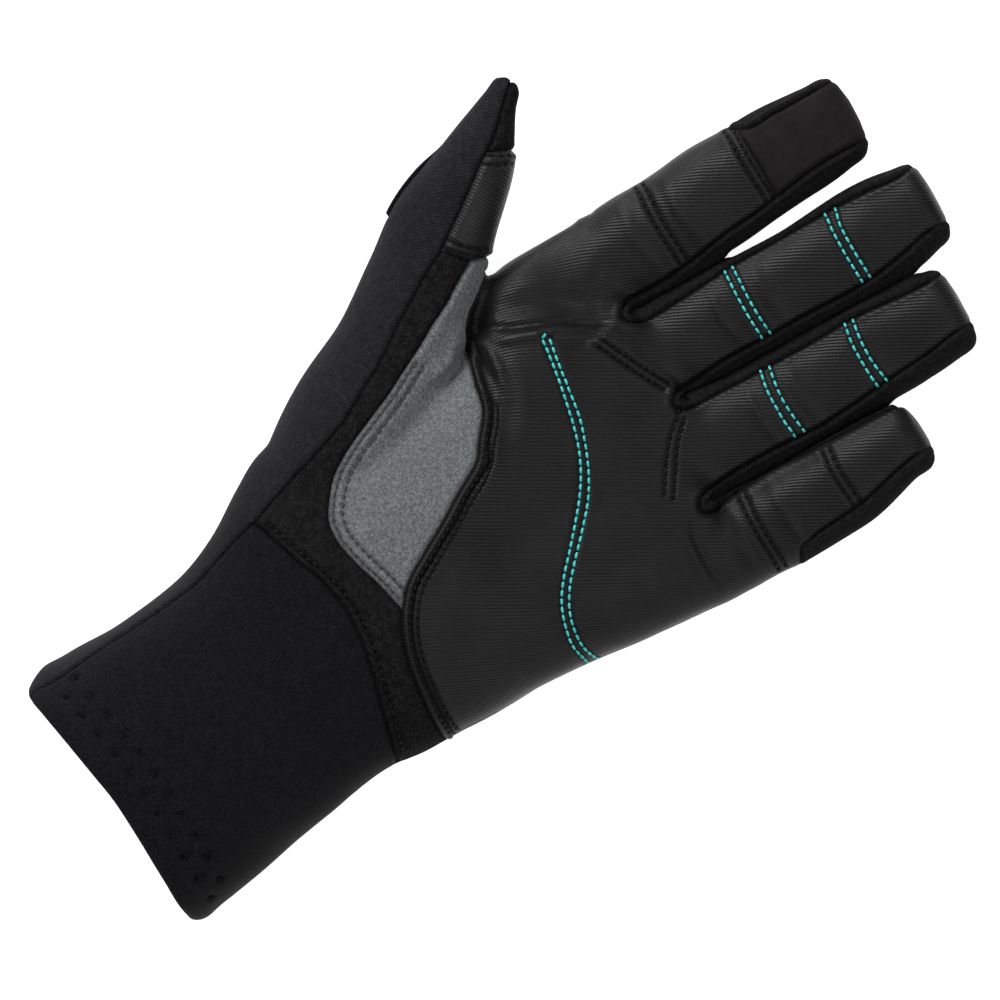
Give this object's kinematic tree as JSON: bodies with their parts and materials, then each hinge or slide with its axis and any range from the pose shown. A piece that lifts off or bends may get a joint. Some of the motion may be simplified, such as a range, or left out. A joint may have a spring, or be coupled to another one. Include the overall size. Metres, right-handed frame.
{
  "type": "sailing glove",
  "caption": "Full-finger gauntlet glove for cold-weather sailing: ribbed grip palm, suede thumb gusset, stitched flex rows and a long stretch cuff.",
  "frame": {"origin": "centre of the flat rest on the back of the hand", "axes": "+Y towards the fingertips, +Z out of the palm, thumb at -X (a left-hand glove)"},
  "size_m": [0.1529, 0.274, 0.0494],
  "materials": {
    "ribbed_palm": "fine raised ribs, coated",
    "touch_suede": "smooth, matt",
    "fleece": "speckled nap",
    "stretch_twill": "fine twill, stretch",
    "neoprene": "smooth skin, fine grain",
    "grey_suede": "napped",
    "binding_tape": "ribbed tape",
    "teal_thread": "stitched",
    "wipe_fleece": "napped"
  },
  "bodies": {
    "hand": {"palm_panel": "ribbed_palm", "palm_binding": "binding_tape", "palm_stitching": "teal_thread", "thumb_gusset": "grey_suede", "heel_strip": "fleece", "back_panel": "stretch_twill", "wrist_band": "neoprene"},
    "cuff": {"cuff_palm_panel": "neoprene", "cuff_back_panel": "neoprene", "cuff_hem": "neoprene"},
    "index_lower": {"index_lower_palm_panel": "ribbed_palm", "index_lower_back_panel": "stretch_twill", "index_lower_side_strips": "fleece"},
    "index_middle": {"index_middle_palm_panel": "ribbed_palm", "index_middle_back_panel": "stretch_twill", "index_middle_side_strips": "fleece"},
    "index_tip": {"index_tip_back_panel": "stretch_twill", "index_tip_side_strips": "fleece", "index_touch_tip": "touch_suede"},
    "middle_lower": {"middle_lower_palm_panel": "ribbed_palm", "middle_lower_back_panel": "stretch_twill", "middle_lower_side_strips": "fleece"},
    "middle_middle": {"middle_middle_palm_panel": "ribbed_palm", "middle_middle_back_panel": "stretch_twill", "middle_middle_side_strips": "fleece"},
    "middle_tip": {"middle_tip_palm_panel": "ribbed_palm", "middle_tip_back_panel": "stretch_twill", "middle_tip_side_strips": "fleece"},
    "ring_lower": {"ring_lower_palm_panel": "ribbed_palm", "ring_lower_back_panel": "stretch_twill", "ring_lower_side_strips": "fleece"},
    "ring_middle": {"ring_middle_palm_panel": "ribbed_palm", "ring_middle_back_panel": "stretch_twill", "ring_middle_side_strips": "fleece"},
    "ring_tip": {"ring_tip_palm_panel": "ribbed_palm", "ring_tip_back_panel": "stretch_twill", "ring_tip_side_strips": "fleece"},
    "little_lower": {"little_lower_palm_panel": "ribbed_palm", "little_lower_back_panel": "stretch_twill", "little_lower_side_strips": "fleece"},
    "little_middle": {"little_middle_palm_panel": "ribbed_palm", "little_middle_back_panel": "stretch_twill", "little_middle_side_strips": "fleece"},
    "little_tip": {"little_tip_palm_panel": "ribbed_palm", "little_tip_back_panel": "stretch_twill", "little_tip_side_strips": "fleece"},
    "thumb_lower": {"thumb_lower_palm_panel": "stretch_twill", "thumb_lower_back_panel": "stretch_twill", "thumb_lower_side_strips": "fleece"},
    "thumb_tip": {"thumb_tip_palm_panel": "stretch_twill", "thumb_tip_back_panel": "stretch_twill", "thumb_tip_side_strips": "fleece", "thumb_grip_patch": "ribbed_palm", "thumb_wipe_patch": "wipe_fleece"}
  },
  "joints": [
    {"name": "wrist_bend", "type": "hinge", "parent": "hand", "child": "cuff", "pos_m": [-0.003, -0.074, 0.0205], "axis": [1, 0, 0], "range_deg": [-40, 40], "stiffness_Nm_per_rad": 0.3, "deforming": ["wrist_band"]},
    {"name": "index_knuckle", "type": "hinge", "parent": "hand", "child": "index_lower", "pos_m": [-0.04798, 0.04137, 0.02046], "axis": [1, 0, 0], "range_deg": [-10, 65], "stiffness_Nm_per_rad": 0.05},
    {"name": "index_middle_joint", "type": "hinge", "parent": "index_lower", "child": "index_middle", "pos_m": [-0.04846, 0.05862, 0.02288], "axis": [1, 0, 0], "range_deg": [0, 75], "stiffness_Nm_per_rad": 0.05},
    {"name": "index_tip_joint", "type": "hinge", "parent": "index_middle", "child": "index_tip", "pos_m": [-0.04934, 0.08625, 0.02725], "axis": [1, 0, 0], "range_deg": [0, 45], "stiffness_Nm_per_rad": 0.05},
    {"name": "middle_knuckle", "type": "hinge", "parent": "hand", "child": "middle_lower", "pos_m": [-0.0202, 0.04245, 0.02047], "axis": [1, 0, 0], "range_deg": [-10, 65], "stiffness_Nm_per_rad": 0.05},
    {"name": "middle_middle_joint", "type": "hinge", "parent": "middle_lower", "child": "middle_middle", "pos_m": [-0.0202, 0.0679, 0.02359], "axis": [1, 0, 0], "range_deg": [0, 75], "stiffness_Nm_per_rad": 0.05},
    {"name": "middle_tip_joint", "type": "hinge", "parent": "middle_middle", "child": "middle_tip", "pos_m": [-0.0202, 0.09762, 0.02828], "axis": [1, 0, 0], "range_deg": [0, 45], "stiffness_Nm_per_rad": 0.05},
    {"name": "ring_knuckle", "type": "hinge", "parent": "hand", "child": "ring_lower", "pos_m": [0.0072, 0.04245, 0.02047], "axis": [1, 0, 0], "range_deg": [-10, 65], "stiffness_Nm_per_rad": 0.05},
    {"name": "ring_middle_joint", "type": "hinge", "parent": "ring_lower", "child": "ring_middle", "pos_m": [0.0072, 0.06274, 0.02296], "axis": [1, 0, 0], "range_deg": [0, 75], "stiffness_Nm_per_rad": 0.05},
    {"name": "ring_tip_joint", "type": "hinge", "parent": "ring_middle", "child": "ring_tip", "pos_m": [0.0072, 0.08792, 0.02693], "axis": [1, 0, 0], "range_deg": [0, 45], "stiffness_Nm_per_rad": 0.05},
    {"name": "little_knuckle", "type": "hinge", "parent": "hand", "child": "little_lower", "pos_m": [0.0338, 0.02937, 0.02046], "axis": [1, 0, 0], "range_deg": [-10, 60], "stiffness_Nm_per_rad": 0.05},
    {"name": "little_middle_joint", "type": "hinge", "parent": "little_lower", "child": "little_middle", "pos_m": [0.03381, 0.0413, 0.02213], "axis": [1, 0, 0], "range_deg": [0, 75], "stiffness_Nm_per_rad": 0.05},
    {"name": "little_tip_joint", "type": "hinge", "parent": "little_middle", "child": "little_tip", "pos_m": [0.03364, 0.0663, 0.02653], "axis": [1, 0, 0], "range_deg": [0, 45], "stiffness_Nm_per_rad": 0.05},
    {"name": "thumb_base", "type": "hinge", "parent": "hand", "child": "thumb_lower", "pos_m": [-0.06567, 0.00436, 0.02803], "axis": [0.5126, 0.4927, -0.7032], "range_deg": [-5, 20], "stiffness_Nm_per_rad": 0.05},
    {"name": "thumb_tip_joint", "type": "hinge", "parent": "thumb_lower", "child": "thumb_tip", "pos_m": [-0.08112, 0.01973, 0.0244], "axis": [0.1521, 0.2402, -0.9587], "range_deg": [0, 40], "stiffness_Nm_per_rad": 0.05, "deforming": ["thumb_grip_patch", "thumb_wipe_patch"]}
  ],
  "couplings": [
    {"joint": "index_tip_joint", "follows": "index_middle_joint", "ratio": 0.6},
    {"joint": "middle_tip_joint", "follows": "middle_middle_joint", "ratio": 0.6},
    {"joint": "ring_tip_joint", "follows": "ring_middle_joint", "ratio": 0.6},
    {"joint": "little_tip_joint", "follows": "little_middle_joint", "ratio": 0.6}
  ]
}
